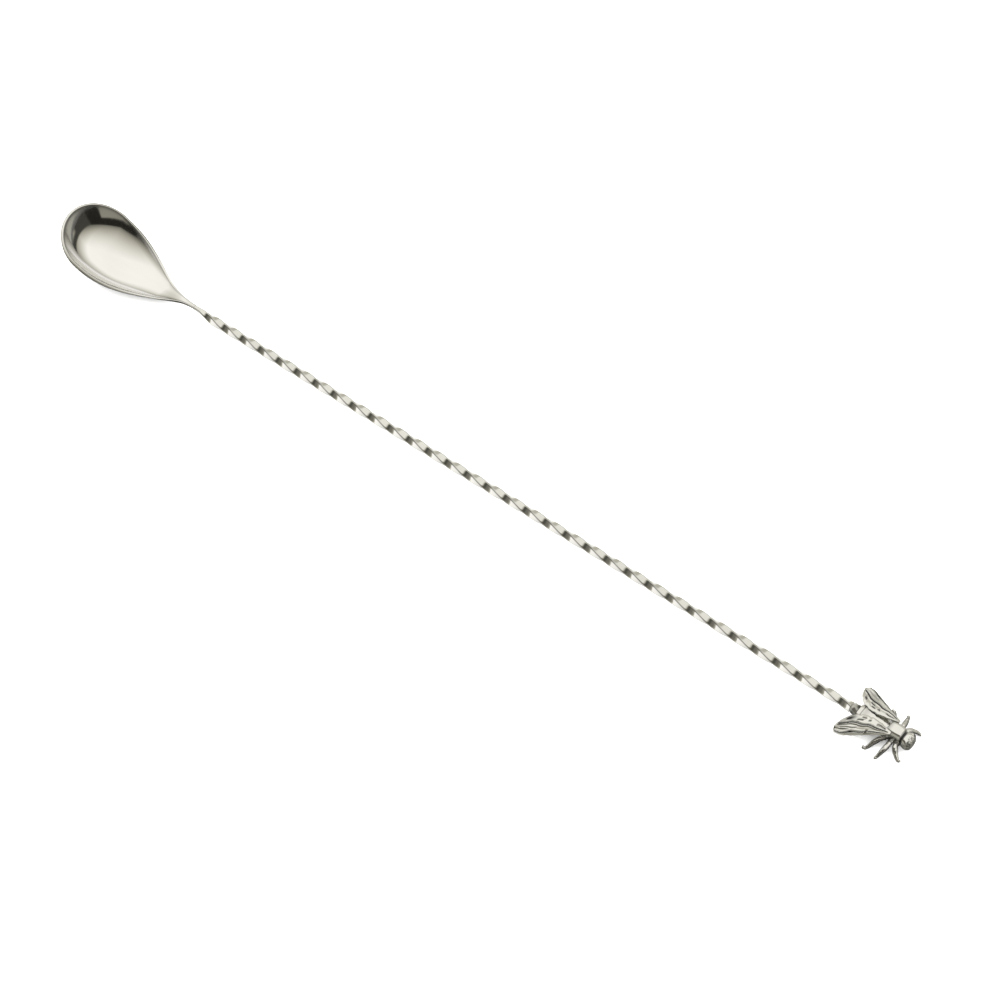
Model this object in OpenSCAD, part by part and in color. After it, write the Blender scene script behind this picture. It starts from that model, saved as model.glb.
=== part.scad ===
// Bar spoon: a teardrop bowl on a twisted square stem, with a cast fly as the finial.
// Millimetres. +X runs from the bowl to the fly's head, +Z is up out of the bowl.
// The origin is under the middle of the spoon, on the table that it rests on.

/* [Overall] */
// Length from the bowl's tip to the front of the fly's head
overall_l = 335; // [300:5:400]

/* [Bowl] */
// Width across the bowl's rim
bowl_w = 27; // [22:0.1:30]
// Distance from the bowl's tip to its widest place
bowl_tip_l = 12.5; // [11:0.5:16]
// Distance from the bowl's widest place to the weld at the end of the neck
bowl_tail_l = 40; // [36:0.5:44]
// Depth of the hollow below the rim at its widest place
bowl_depth = 5.9; // [5:0.1:8]
// Thickness of the bowl's sheet
sheet_t = 1.2; // [0.8:0.1:1.6]
// Slope of the rim where it leaves the neck
rim_slope = 0.048; // [0.02:0.002:0.1]
// How fast the rim steepens towards the tip, per millimetre
rim_curve = 0.0075; // [0.004:0.0005:0.009]

/* [Neck] */
// Width of the neck at the weld
neck_w = 1.6; // [1.4:0.1:2.4]
// Thickness of the neck at the weld
neck_t = 1.2; // [1.1:0.1:1.8]
// Height of the neck's top face above the stem's axis
neck_top = 1.75; // [1.4:0.05:2]

/* [Stem] */
// Side of the square rod
stem_side = 2.7; // [2.4:0.1:3.2]
// Radius on the rod's corners
corner_r = 0.35; // [0.1:0.05:0.5]
// Length of the first quarter turn
quarter_l = 7.47; // [6:0.1:10]
// Each quarter turn is longer than the one before it by this ratio
quarter_ratio = 1.0029; // [1.001:0.0001:1.006]

/* [Finial] */
// Length from the stem's shoulder to the front of the fly's head
finial_l = 22.7; // [21:0.1:25]
// Radius of the tenon on the stem's end
tenon_r = 1; // [0.8:0.05:1.1]
// Length of the tenon
tenon_l = 6; // [5:0.1:6.5]
// Radial gap that the braze fills round the tenon and the pegs
braze_gap = 0.03; // [0.02:0.01:0.05]
// Thickness of a wing
wing_t = 0.7; // [0.5:0.05:0.9]
// Tilt of the wings, down towards their outer edges
wing_tilt = 20; // [12:1:26]

/* [Hidden] */
$fn = 48;

steel = [0.80, 0.79, 0.75];
cast_steel = [0.76, 0.75, 0.70];
braze = [0.66, 0.65, 0.60];

// ---- Shared functions and modules ----

function lerp(a, b, t) = a + (b - a) * t;
function smooth(t) = let (c = min(max(t, 0), 1)) c * c * (3 - 2 * c);
function unit(v) = v / norm(v);

// Skin over rings that all have the same even number of points, closed at both ends.
// A cap pairs a ring's first point with its last, so a crescent closes as well as a circle.
module loft(rings) {
    n = len(rings[0]);
    last = (len(rings) - 1) * n;
    skin = [for (i = [0 : len(rings) - 2], j = [0 : n - 1])
        let (a = i * n + j, b = i * n + (j + 1) % n)
        each [[a, a + n, b], [b, a + n, b + n]]];
    ladder = [for (j = [0 : n / 2 - 2])
        each [[j, j + 1, n - 1 - j], [j + 1, n - 2 - j, n - 1 - j]]];
    far_ladder = [for (f = ladder) [last + f[0], last + f[2], last + f[1]]];
    polyhedron([for (ring = rings) each ring], concat(ladder, skin, far_ladder));
}

// Cylinder of radius r from point a to point b
module rod(a, b, r) {
    d = b - a;
    translate(a)
        rotate([0, acos(d[2] / norm(d)), atan2(d[1], d[0])])
            cylinder(r = r, h = norm(d));
}

// Bezier curve through the first and last of its control values, which may be points or numbers
function bezier(values, t) = len(values) == 1 ? values[0]
    : bezier([for (i = [1 : len(values) - 1]) lerp(values[i - 1], values[i], t)], t);

// How far a form has closed at t along it, from 1 (open) to 0. A higher power closes it more bluntly
function close(t, power) = sqrt(1 - pow(t, power));

past = 1;               // how far a cutter starts outside the part that it cuts

// Round limb swept along a Bezier curve. It starts flat and ends in a dome
module limb(path, radii) {
    steps = 12;
    points = 10;
    end_t = 0.995;      // the dome closes on a small flat at this place along the curve
    dome_power = 24;
    slopes = [for (i = [1 : len(path) - 1]) path[i] - path[i - 1]];
    loft([for (k = [0 : steps])
        let (t = end_t * sin(90 * k / steps),
             along = unit(bezier(slopes, t)),
             across = unit(cross(along, [0, 0, 1])),
             up = cross(across, along),
             r = bezier(radii, t) * close(t, dome_power))
        [for (j = [0 : points - 1])
            let (angle = -j * 360 / points)
            bezier(path, t) + r * (cos(angle) * across + sin(angle) * up)]]);
}

// Shows what is made for the left side, or its mirror image for the right
module on_side(side) {
    if (side == "left") children();
    else mirror([0, 1, 0]) children();
}

// ---- Bowl and neck. Stations are measured from the bowl's tip ----

bowl_l = bowl_tip_l + bowl_tail_l;
tip_x = -overall_l / 2;
weld_x = tip_x + bowl_l;
section_power = 3;      // how flat the hollow's floor is across the bowl
tail_power = 1.6;       // how soon the hollow shallows towards the neck
heel_s = bowl_l - 14;   // where the rim starts to climb
heel_drop = 1.6;        // how far the rim dips below the neck's top there
climb_l = 11;           // length over which the rim rises from its dip to the neck's top
rim_l = 4;              // half width of the blank at which its rim has thinned to 0.7 of its full width
rim_plan = 0.82;        // width of the rim seen from above, as a share of the sheet's thickness
rim_drop = 0.72;        // the rim leans outwards: its outer edge is this much lower than its inner edge
neck_side = 0.75;       // share of the neck's thickness that its straight sides take
tail_fullness = 1.12;   // above 1, the blank keeps its width for longer behind its widest place

// Half the width of the blank
function half_width(s) = s < bowl_tip_l
    ? bowl_w / 2 * sqrt(1 - pow(1 - s / bowl_tip_l, 2))
    : lerp(neck_w / 2, bowl_w / 2, (1 + cos(180 * pow((s - bowl_tip_l) / bowl_tail_l, tail_fullness))) / 2);

// Height of the rim above the stem's axis
function rim_z(s) = let (d = heel_s - s, low = neck_top - heel_drop)
    d > 0 ? low + rim_slope * d + rim_curve * d * d
          : lerp(low, neck_top, smooth(-d / climb_l));

// Width of the rim seen from above, which thins as the blank narrows to the neck
function rim_w(half) = rim_plan * sheet_t * half / norm([half, rim_l]);

// How far the rim's edges are above and below its middle, which is nothing on the neck
function lean(s) = rim_drop / 2 * (s < bowl_tip_l ? 1 : pow(2 * half_width(s) / bowl_w, 2));

// Share of the bowl's full depth at station s, c across from -1 to 1. tip is the length of the round front
function depth_share(s, c, tip, half_at_s, half_full) = s < tip
    ? 1 - pow(pow(1 - s / tip, 2) + pow(c * half_at_s / half_full, 2), section_power / 2)
    : pow(half_at_s / half_full, tail_power) * (1 - pow(abs(c), section_power));

inner_tip = bowl_tip_l - rim_plan * sheet_t;
inner_full = bowl_w / 2 - rim_w(bowl_w / 2);

// Half the width of the hollow
function inner_half(s) = s < bowl_tip_l
    ? inner_full * sqrt(max(1 - pow((bowl_tip_l - s) / inner_tip, 2), 0))
    : half_width(s) - rim_w(half_width(s));

// A point of the underside. On the neck it also has straight sides below the rim
function under_point(s, c) =
    let (half = half_width(s),
         on_neck = smooth((s - heel_s) / climb_l),
         side = neck_side * neck_t * on_neck,
         below = lerp(sheet_t, neck_t - side, on_neck),
         full = bowl_depth + (s < bowl_tip_l ? sheet_t : below * pow(half / (bowl_w / 2), -tail_power)),
         share = depth_share(s, c, bowl_tip_l, half, bowl_w / 2),
         at_middle = depth_share(max(s, bowl_tip_l), 0, bowl_tip_l, max(half, neck_w / 2), bowl_w / 2))
    [tip_x + s, c * half, rim_z(s) - side - full * share - lean(s) * (1 - share / at_middle)];

// A point of the hollow
function hollow_point(s, c) =
    let (half = inner_half(s),
         share = depth_share(s - rim_plan * sheet_t, c, inner_tip, half, inner_full),
         at_middle = s < bowl_tip_l ? 1 : pow(half / inner_full, tail_power))
    [tip_x + s, c * half, rim_z(s) - bowl_depth * share + lean(s) * (1 - share / at_middle)];

across_steps = 16;
across = [for (k = [0 : across_steps]) cos(k * 180 / across_steps)];
tip_steps = 12;
tail_steps = 22;
first_angle = 5;        // the tip closes on a small flat at this angle round its ellipse
bowl_stations = concat(
    [for (k = [0 : tip_steps - 1]) bowl_tip_l * (1 - cos(lerp(first_angle, 90, k / tip_steps)))],
    [for (k = [0 : tail_steps]) bowl_tip_l + bowl_tail_l * k / tail_steps]);

function bowl_ring(s) = concat(
    [for (c = across) under_point(s, c)],
    [for (k = [across_steps : -1 : 0])
        hollow_point(min(lerp(rim_plan * sheet_t, bowl_l, s / bowl_l), bowl_l), across[k])]);

// The stem's axis is at z = 0 while the parts are worked out, and the table is this far below it
axis_h = -min([for (s = bowl_stations) under_point(s, 0)[2]]);

module bowl() {
    color(steel) loft([for (s = bowl_stations) bowl_ring(s)]);
}

// ---- Stem ----

shoulder_x = overall_l / 2 - finial_l;
lead_l = 2.6;           // length of straight rod between the weld and the twist
twist_start = weld_x + lead_l;
square_l = 9;           // length over which the neck's section grows into the square rod
steps_per_quarter = 5;
neck_zc = neck_top - neck_t / 2;
stem_steps = ceil((shoulder_x - weld_x) / quarter_l * steps_per_quarter);

// Turn of the rod at x: every quarter turn is quarter_ratio times as long as the last
function twist(x) = x <= twist_start ? 0
    : 90 * ln(1 + (x - twist_start) * ln(quarter_ratio) / quarter_l) / ln(quarter_ratio);

function stem_ring(x) =
    let (t = smooth((x - weld_x) / square_l),
         hy = lerp(neck_w / 2, stem_side / 2, t),
         hz = lerp(neck_t / 2, stem_side / 2, t),
         zc = neck_zc * (1 - t),
         side = [[hy, -hz + corner_r], [hy, 0], [hy, hz - corner_r], [hy - corner_r, hz],
                 [0, hz], [-hy + corner_r, hz]],
         outline = concat(side, -side))
    [for (p = outline)
        [x, p[0] * cos(twist(x)) - p[1] * sin(twist(x)),
         zc + p[0] * sin(twist(x)) + p[1] * cos(twist(x))]];

module stem() {
    root = 1;           // how far the tenon's solid starts inside the rod
    color(steel) union() {
        loft([for (i = [0 : stem_steps]) stem_ring(lerp(weld_x, shoulder_x, i / stem_steps))]);
        rod([shoulder_x - root, 0, 0], [shoulder_x + tenon_l, 0, 0], tenon_r);
    }
}

// ---- Collar of braze round the tenon ----

collar_l = 2.8;
collar_r = 1.95;

module braze_collar() {
    edge = 0.45;
    color(braze)
        translate([shoulder_x, 0, 0]) rotate([0, 90, 0]) difference() {
            rotate_extrude()
                polygon([[0, 0], [collar_r - edge, 0], [collar_r, edge],
                         [collar_r, collar_l - edge], [collar_r - edge, collar_l], [0, collar_l]]);
            translate([0, 0, -past]) cylinder(r = tenon_r + braze_gap, h = collar_l + 2 * past);
        }
}

// ---- Fly. Its stations are measured back from the front of the head ----

nose_x = overall_l / 2;
tail_x = shoulder_x + collar_l;

// Each mass of the body: centre behind the nose, half length, half width, half height, height of centre
// and bluntness of its ends
abdomen = [15.2, 6.4, 3.3, 2.4, -0.8, 2.4];
thorax = [6.4, 2.6, 2.4, 2.4, 0.9, 6];
head = [2, 2, 2.65, 2.5, 0, 2.4];
tail_r = 2.05;
waist = [1.6, 1.7];     // half width and half height where the masses meet
body_power = 2.4;       // above 2 the body's section is squarer than an ellipse

// Size of one mass at a place d behind the nose, as a share of its full size
function mass_share(mass, d) = let (q = min(abs(d - mass[0]) / mass[1], 1))
    pow(1 - pow(q, mass[5]), 1 / mass[5]);

// Half width, half height and height of the body's centre at d
function body_at(d) =
    let (tail = d > abdomen[0] ? tail_r : 0,
         inside = d > head[0] && d < abdomen[0] ? 1 : 0,
         masses = [abdomen, thorax, head])
    [max(tail, inside * waist[0], max([for (m = masses) m[2] * mass_share(m, d)])),
     max(tail, inside * waist[1], max([for (m = masses) m[3] * mass_share(m, d)])),
     thorax[4] * mass_share(thorax, d) + abdomen[4] * mass_share(abdomen, d)];

body_points = 24;
body_steps = 46;
nose_flat = 0.06;       // the head closes on a small flat this far behind its front

function body_ring(d) =
    let (size = body_at(d))
    [for (j = [0 : body_points - 1])
        let (angle = j * 360 / body_points, c = cos(angle), s = sin(angle),
             bulge = pow(pow(abs(c), body_power) + pow(abs(s), body_power), -1 / body_power))
        [nose_x - d, size[0] * c * bulge, size[2] + size[1] * s * bulge]];

// Half the body's width at station d and height z
function side_y(d, z) = let (size = body_at(d))
    size[0] * pow(1 - pow(min(abs(z - size[2]) / size[1], 1), body_power), 1 / body_power);

// A point of the fly, given behind the nose, outwards on the left and up from the stem's axis
function fly_point(p) = [nose_x - p[0], p[1], p[2]];

peg_r = 0.35;
peg_l = 1;
bottom_gap = 0.1;       // gap between the end of a peg and the bottom of its hole
seat_sink = 0.2;        // how deep a leg's spot face goes into the body's side
seat_out = 0.8;         // a leg leaves its seat square, for about this far
foot_r = 0.5;
foot_z = foot_r / 2 - axis_h;   // the foot's dome then ends about 0.1 above the table
leg_radii = [0.55, 0.75, 1.1, 1.05, 0.5, foot_r];

// Centre of a leg's seat on the body's side
function seat(d, z) = [d, side_y(d, z) - seat_sink, z];

// Control points of a leg. The knee counts twice, so that the curve bends close to it
function leg_path(hip, knee, ankle, foot) = [hip, hip + [0, seat_out, 0], knee, knee, ankle, foot];

front_leg = leg_path(seat(4.7, -0.6), [4, 4.3, -0.9], [2.3, 6, -2.4], [1.1, 6.2, foot_z]);
middle_leg = leg_path(seat(6.4, -0.8), [6.5, 5.4, -1.1], [7.1, 7.8, -2.4], [7.6, 9.5, foot_z]);
rear_leg = leg_path(seat(8.3, -0.4), [10.3, 4.8, -0.9], [11, 7, -2.4], [12.2, 8.5, foot_z]);

module leg(path, side) {
    hip = path[0];
    color(cast_steel) on_side(side) union() {
        limb([for (p = path) fly_point(p)], leg_radii);
        rod(fly_point(hip + [0, seat_out / 2, 0]), fly_point(hip - [0, peg_l, 0]), peg_r);
    }
}

// Hole for a leg's peg, and the spot face that its shoulder seats on
module leg_hole(path) {
    hip = path[0];
    outside = hip + [0, 2 * past, 0];
    bottom = hip - [0, peg_l + bottom_gap, 0];
    rod(fly_point(outside), fly_point(bottom), peg_r + braze_gap);
    rod(fly_point(outside), fly_point(hip), leg_radii[0] + braze_gap);
}

// Wings: root and tip of the centre line, and the peg from the root down into the thorax
wing_root = [7, 2.6, 2.85];
wing_tip = [23.3, 8.3, -0.9];
wing_peg = [[7.3, 2.6, 2.85], [7.3, 1.5, 1.45]];
wing_camber = 0.5;
root_chord = 0.5;       // chord on either side of the centre line at the root
outer_growth = 3.1;     // how much the outer side grows from the root to the tip
inner_swell = 4.8;      // how much the inner side swells, as a sine that turns through inner_turn degrees
inner_turn = 128;
outer_blunt = 10;       // how bluntly the tip closes on either side
inner_blunt = 8;

// Chord on the outer and the inner side of the centre line, at t from the root to the tip
function chord_out(t) = (root_chord + outer_growth * t) * close(t, outer_blunt);
function chord_in(t) = (root_chord + inner_swell * sin(inner_turn * t)) * close(t, inner_blunt);

// A point of the wing's surface: c runs across it from its inner to its outer edge, h is above its middle
function wing_point(t, c, h) =
    let (y = lerp(-chord_in(t), chord_out(t), c),
         z = h + 4 * c * (1 - c) * wing_camber * smooth(3 * t))
    fly_point(lerp(wing_root, wing_tip, t)
              + [0, y * cos(wing_tilt) + z * sin(wing_tilt), z * cos(wing_tilt) - y * sin(wing_tilt)]);

module wing(side) {
    along_steps = 22;
    cross_steps = 8;
    end_t = 0.985;      // the tip closes on a small flat at this place along the wing
    cs = [for (j = [0 : cross_steps]) j / cross_steps];
    color(cast_steel) on_side(side) union() {
        loft([for (k = [0 : along_steps])
            let (t = end_t * sin(90 * k / along_steps))
            concat([for (c = cs) wing_point(t, c, wing_t / 2)],
                   [for (c = cs) wing_point(t, 1 - c, -wing_t / 2)])]);
        rod(fly_point(wing_peg[0]), fly_point(wing_peg[1]), peg_r);
    }
}

module wing_hole() {
    outside = lerp(wing_peg[1], wing_peg[0], 2);
    bottom = wing_peg[1] + bottom_gap * unit(wing_peg[1] - wing_peg[0]);
    rod(fly_point(outside), fly_point(bottom), peg_r + braze_gap);
}

module insect_body() {
    body_l = nose_x - tail_x;
    socket_l = tenon_l - collar_l + bottom_gap;
    color(cast_steel) difference() {
        loft([for (k = [0 : body_steps]) body_ring(lerp(body_l, nose_flat, k / body_steps))]);
        rod([tail_x - past, 0, 0], [tail_x + socket_l, 0, 0], tenon_r + braze_gap);
        for (side = ["left", "right"]) on_side(side) {
            leg_hole(front_leg);
            leg_hole(middle_leg);
            leg_hole(rear_leg);
            wing_hole();
        }
    }
}

// Lifts a part from the stem's frame to the table's
module on_table() {
    translate([0, 0, axis_h]) children();
}

on_table() bowl();
on_table() stem();
on_table() braze_collar();
on_table() insect_body();
on_table() wing("left");  // wing_left
on_table() wing("right");  // wing_right
on_table() leg(front_leg, "left");  // leg_front_left
on_table() leg(middle_leg, "left");  // leg_middle_left
on_table() leg(rear_leg, "left");  // leg_rear_left
on_table() leg(front_leg, "right");  // leg_front_right
on_table() leg(middle_leg, "right");  // leg_middle_right
on_table() leg(rear_leg, "right");  // leg_rear_right
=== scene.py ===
"""Looks of the bar spoon: a teardrop bowl, a twisted square stem and a cast fly, in polished steel.

Shapes are worked out in millimetres in the stem's frame: x runs from the bowl's tip to the fly's nose,
y is to the spoon's left and z is up from the stem's axis. add_piece() moves them into the CAD frame.
"""

import math

import bmesh
import bpy
import numpy as np
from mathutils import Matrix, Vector


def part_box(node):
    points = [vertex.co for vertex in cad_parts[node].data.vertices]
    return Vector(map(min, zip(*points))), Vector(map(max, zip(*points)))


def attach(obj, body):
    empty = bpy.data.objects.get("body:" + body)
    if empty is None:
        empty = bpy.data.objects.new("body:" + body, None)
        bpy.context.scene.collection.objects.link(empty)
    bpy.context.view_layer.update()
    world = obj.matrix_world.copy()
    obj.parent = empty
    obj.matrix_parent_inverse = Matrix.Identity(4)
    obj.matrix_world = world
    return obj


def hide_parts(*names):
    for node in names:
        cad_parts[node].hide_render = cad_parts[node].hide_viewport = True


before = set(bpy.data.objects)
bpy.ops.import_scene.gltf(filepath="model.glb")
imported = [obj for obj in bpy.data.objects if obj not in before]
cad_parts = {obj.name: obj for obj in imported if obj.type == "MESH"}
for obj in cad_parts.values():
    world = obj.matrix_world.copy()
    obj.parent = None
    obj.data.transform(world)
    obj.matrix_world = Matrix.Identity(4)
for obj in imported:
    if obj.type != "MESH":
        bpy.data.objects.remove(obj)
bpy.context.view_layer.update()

MM = 0.001


def box_mm(node):
    """Lowest and highest corners of a CAD node, in millimetres."""
    low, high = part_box(node)
    return np.array(low) / MM, np.array(high) / MM


bowl_low, bowl_high = box_mm("bowl")
collar_low, collar_high = box_mm("braze_collar")
fly_high = box_mm("insect_body")[1]

TIP_X = bowl_low[0]
WELD_X = bowl_high[0]       # where the neck meets the stem
BOWL_L = WELD_X - TIP_X
HALF_W = bowl_high[1]
SHOULDER_X = collar_low[0]  # where the stem ends and the collar starts
TAIL_X = collar_high[0]     # where the collar ends and the fly starts
NOSE_X = fly_high[0]
COLLAR_R = (collar_high[1] - collar_low[1]) / 2
AXIS_H = (collar_low[2] + collar_high[2]) / 2


# ---- Shared helpers ----

def lerp(a, b, t):
    """a where t is 0 and b where it is 1."""
    return a + (b - a) * t


def smooth(t):
    """Rises from 0 to 1 as t does, with a soft start and end."""
    t = np.clip(t, 0, 1)
    return t * t * (3 - 2 * t)


def hump(x, centre, width):
    """Smooth hump of height 1."""
    return np.exp(-((x - centre) / width) ** 2)


def unit(v):
    return v / np.linalg.norm(v, axis=-1, keepdims=True)


def bezier(values, t):
    """Point of a Bezier curve at t, which may be an array."""
    values = [np.asarray(v, float) for v in values]
    t = np.asarray(t, float)[..., None]
    while len(values) > 1:
        values = [lerp(a, b, t) for a, b in zip(values, values[1:])]
    return values[0]


def grid_faces(rows, columns, closed):
    """Quads over a grid of rows x columns points. closed joins the last column to the first."""
    last = columns if closed else columns - 1
    i, j = np.meshgrid(np.arange(rows - 1), np.arange(last), indexing="ij")
    k = (j + 1) % columns
    quads = np.stack([i * columns + j, i * columns + k, (i + 1) * columns + k, (i + 1) * columns + j], -1)
    return quads.reshape(-1, 4).tolist()


def tube(rings):
    """Points and faces of a skin over closed rings, with a flat cap at both ends."""
    rows, columns = rings.shape[:2]
    faces = grid_faces(rows, columns, True)
    faces.append(list(range(columns))[::-1])
    faces.append([(rows - 1) * columns + j for j in range(columns)])
    return rings.reshape(-1, 3), faces


def add_piece(name, parts, node, material):
    """Makes one piece from its parts, in place of a CAD node.

    A part is its points, its faces and, if it has any, the darkness of each point's patina and painted
    shade from 0 to 1.
    """
    points = []
    faces = []
    painted_shade_and_patina = []
    for part_points, part_faces, *part_shade_and_patina in parts:
        start = len(points)
        points += ((np.asarray(part_points) + [0, 0, AXIS_H]) * MM).tolist()
        faces += [[start + i for i in face] for face in part_faces]
        # Painted shade and patina, one value for each point
        painted_shade_and_patina += np.ravel(part_shade_and_patina[0]).tolist() if part_shade_and_patina else [0.0] * len(part_points)
    mesh = bpy.data.meshes.new(name)
    mesh.from_pydata(points, [], faces)
    mesh.attributes.new("painted_shade_and_patina", "FLOAT", "POINT").data.foreach_set("value", painted_shade_and_patina)
    work = bmesh.new()
    work.from_mesh(mesh)
    bmesh.ops.remove_doubles(work, verts=work.verts, dist=1e-7)
    bmesh.ops.recalc_face_normals(work, faces=work.faces)
    work.to_mesh(mesh)
    work.free()
    mesh.polygons.foreach_set("use_smooth", [True] * len(mesh.polygons))
    mesh.materials.append(material)
    piece = bpy.data.objects.new(name, mesh)
    bpy.context.scene.collection.objects.link(piece)
    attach(piece, "root")
    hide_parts(node)


# ---- Materials ----

def add_node(tree, kind, settings=None, **inputs):
    """Shader node with its settings, and its inputs as values or as sockets. _ stands for a space."""
    made = tree.nodes.new("ShaderNode" + kind)
    for key, value in (settings or {}).items():
        setattr(made, key, value)
    for key, value in inputs.items():
        put(tree, made.inputs[key.replace("_", " ")], value)
    return made


def put(tree, socket, value):
    """Sets an input to a value, or links it to a socket."""
    if isinstance(value, bpy.types.NodeSocket):
        tree.links.new(value, socket)
    else:
        socket.default_value = value


def math_node(tree, operation, a, b=0.0):
    made = tree.nodes.new("ShaderNodeMath")
    made.operation = operation
    put(tree, made.inputs[0], a)
    put(tree, made.inputs[1], b)
    return made.outputs[0]


def noise(tree, coordinates, scale, detail=3.0, stretch=(1, 1, 1)):
    """Noise with features about 1 / scale millimetres wide. stretch multiplies scale along each axis."""
    mapping = add_node(tree, "Mapping", Vector=coordinates, Scale=[scale * s / MM for s in stretch])
    made = add_node(tree, "TexNoise", Vector=mapping.outputs[0], Scale=1.0, Detail=detail)
    return made.outputs[0]


def map_range(tree, value, low, high, to_low, to_high):
    """to_low where value is low or less, to_high where it is high or more, and smooth between them."""
    made = add_node(tree, "MapRange", {"interpolation_type": "SMOOTHSTEP"}, Value=value)
    for socket, number in zip(made.inputs[1:5], (low, high, to_low, to_high)):
        socket.default_value = number
    return made.outputs[0]


def mix_levels(tree, below, above, share):
    """below where share is 0, above where it is 1."""
    made = add_node(tree, "Mix", {"data_type": "FLOAT"})
    for socket, value in zip((0, 2, 3), (share, below, above)):
        put(tree, made.inputs[socket], value)
    return made.outputs[0]


def mix_colours(tree, below, above, share, blend="MIX"):
    """below where share is 0. Where it is 1, above, or with MULTIPLY below times above."""
    made = add_node(tree, "Mix", {"data_type": "RGBA", "blend_type": blend})
    for socket, value in zip((0, 6, 7), (share, below, above)):
        put(tree, made.inputs[socket], value)
    return made.outputs[2]


def step(tree, value, middle, soft):
    """0 below the middle and 1 above it, over a soft edge."""
    return map_range(tree, value, middle - soft, middle + soft, 0.0, 1.0)


def inside(tree, value, low, high, soft):
    """1 between low and high."""
    return math_node(tree, "SUBTRACT", step(tree, value, low, soft), step(tree, value, high, soft))


def linear(tree, value, slope, offset, low, high):
    """offset + slope * value, kept between low and high."""
    line = math_node(tree, "ADD", math_node(tree, "MULTIPLY", value, slope), offset)
    return math_node(tree, "MINIMUM", math_node(tree, "MAXIMUM", line, low), high)


def metal(name, colour, dark, roughness, smudge, dents, grain, line_stretch, cavity_shade):
    """Polished metal that turns to the dark colour where it has patina and painted shade.

    smudge is how much smears and scratches add to the roughness. dents and grain are the strengths of the
    broad and the fine bump. line_stretch draws the grain out along the polishing direction. The last
    argument sets how dark the painted shade in grooves and corners gets, from ambient occlusion, from 0 to
    1.
    """
    material = bpy.data.materials.new(name)
    material.use_nodes = True
    tree = material.node_tree
    shader = tree.nodes["Principled BSDF"]
    where = add_node(tree, "TexCoord").outputs["Object"]
    broad = noise(tree, where, 0.22, 4.0)
    fine = noise(tree, where, 1.6, 5.0, line_stretch)
    smear = noise(tree, where, 0.06, 3.0, (0.5, 1.5, 1.5))
    occlusion = add_node(tree, "AmbientOcclusion", {"samples": 8}, Distance=0.6 * MM)
    # Painted shade: where ambient occlusion finds a groove or corner, the colour darkens towards the dark
    # colour
    open_share = map_range(tree, occlusion.outputs["AO"], 0.25, 0.85, 1 - cavity_shade, 1.0)
    painted_shade_and_patina = add_node(tree, "Attribute", {"attribute_name": "painted_shade_and_patina"}).outputs["Fac"]
    # Share of the clean colour left after the painted shade and the patina
    bright_share = math_node(tree, "MULTIPLY", open_share, math_node(tree, "SUBTRACT", 1.0, painted_shade_and_patina))
    smeared = [channel * SMEAR_SHADE for channel in colour]
    tint = mix_colours(tree, (*colour, 1), (*smeared, 1), map_range(tree, smear, 0.35, 0.65, 0.0, 1.0))
    tree.links.new(mix_colours(tree, (*dark, 1), tint, bright_share), shader.inputs["Base Color"])
    shader.inputs["Metallic"].default_value = 1.0
    spread = math_node(tree, "MULTIPLY", map_range(tree, smear, 0.3, 0.7, 0.0, 1.0), smudge)
    scratched = math_node(tree, "MULTIPLY", map_range(tree, fine, 0.55, 0.75, 0.0, 1.0), smudge)
    dull = math_node(tree, "MULTIPLY", painted_shade_and_patina, SHADE_AND_PATINA_ROUGHNESS)
    total = math_node(tree, "ADD", math_node(tree, "ADD", spread, scratched),
                      math_node(tree, "ADD", dull, roughness))
    tree.links.new(total, shader.inputs["Roughness"])
    broad_bump = add_node(tree, "Bump", Strength=dents, Distance=0.2 * MM, Height=broad)
    fine_bump = add_node(tree, "Bump", Strength=grain, Distance=0.02 * MM, Height=fine,
                         Normal=broad_bump.outputs[0])
    tree.links.new(fine_bump.outputs[0], shader.inputs["Normal"])
    return material


SMEAR_SHADE = 0.95          # brightness of smeared metal, as a share of clean metal
# Roughness added with the patina and the painted shade
SHADE_AND_PATINA_ROUGHNESS = 0.3
ALONG = (0.03, 1, 1)
EVEN = (1, 1, 1)

bowl_steel = metal("bowl_steel", colour=(0.81, 0.79, 0.73), dark=(0.25, 0.25, 0.22), roughness=0.045,
                   smudge=0.03, dents=0.0, grain=0.02, line_stretch=ALONG, cavity_shade=0.0)
stem_steel = metal("stem_steel", colour=(0.80, 0.785, 0.72), dark=(0.20, 0.20, 0.17), roughness=0.07,
                   smudge=0.05, dents=0.02, grain=0.05, line_stretch=ALONG, cavity_shade=0.3)
cast_steel = metal("cast_steel", colour=(0.84, 0.825, 0.76), dark=(0.10, 0.10, 0.09), roughness=0.09,
                   smudge=0.08, dents=0.10, grain=0.10, line_stretch=EVEN, cavity_shade=0.9)
braze_metal = metal("braze_metal", colour=(0.62, 0.61, 0.55), dark=(0.12, 0.12, 0.10), roughness=0.22,
                    smudge=0.12, dents=0.30, grain=0.25, line_stretch=EVEN, cavity_shade=0.7)


# ---- Bowl and neck. Stations s are measured from the bowl's tip ----

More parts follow.
